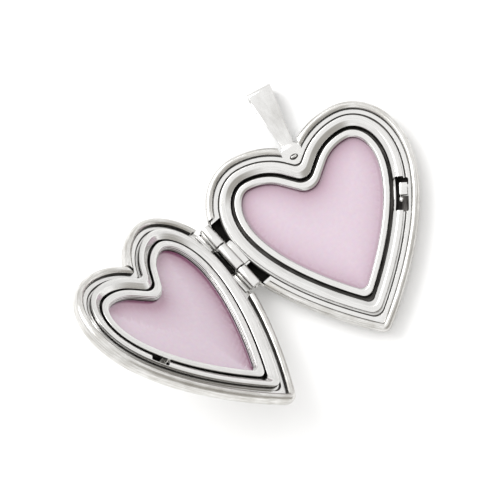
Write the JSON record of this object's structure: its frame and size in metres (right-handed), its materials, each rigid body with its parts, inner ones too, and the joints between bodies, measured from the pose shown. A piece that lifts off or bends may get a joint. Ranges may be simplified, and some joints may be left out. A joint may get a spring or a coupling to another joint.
{
  "type": "heart locket",
  "caption": "Heart-shaped silver picture locket that opens like a book, with tinted film windows and a tapered strap bail.",
  "frame": {"origin": "centre of the rear half's heart outline, in the plane of the flat middle of its back", "axes": "+Z out of the rear half's open side, +Y from the tip of the heart to its cleft, +X away from the hinge side"},
  "size_m": [0.0343, 0.0287, 0.0156],
  "materials": {
    "silver": "polished silver with fine wear",
    "film": "matte lavender film"
  },
  "bodies": {
    "rear_half": {"rear_shell": "silver", "rear_inner_plate": "silver", "rear_photo_frame": "silver", "rear_film": "film", "rear_knuckle": "silver", "catch_tongue": "silver", "bail_staple": "silver", "bail_peg": "silver"},
    "cover": {"front_shell": "silver", "front_inner_plate": "silver", "front_photo_frame": "silver", "front_film": "film", "front_knuckle_upper": "silver", "front_knuckle_lower": "silver", "hinge_pin": "silver", "catch_lug": "silver"},
    "bail": {"bail_strap": "silver"}
  },
  "joints": [
    {"name": "cover_hinge", "type": "hinge", "parent": "rear_half", "child": "cover", "pos_m": [-0.00948, 0.00213, 0.00225], "axis": [0.2453, -0.9694, 0], "range_deg": [-136.8, 20]},
    {"name": "bail_swing", "type": "hinge", "parent": "rear_half", "child": "bail", "pos_m": [0, 0.00875, 0.00117], "axis": [1, 0, 0], "range_deg": [-85, 15]}
  ]
}
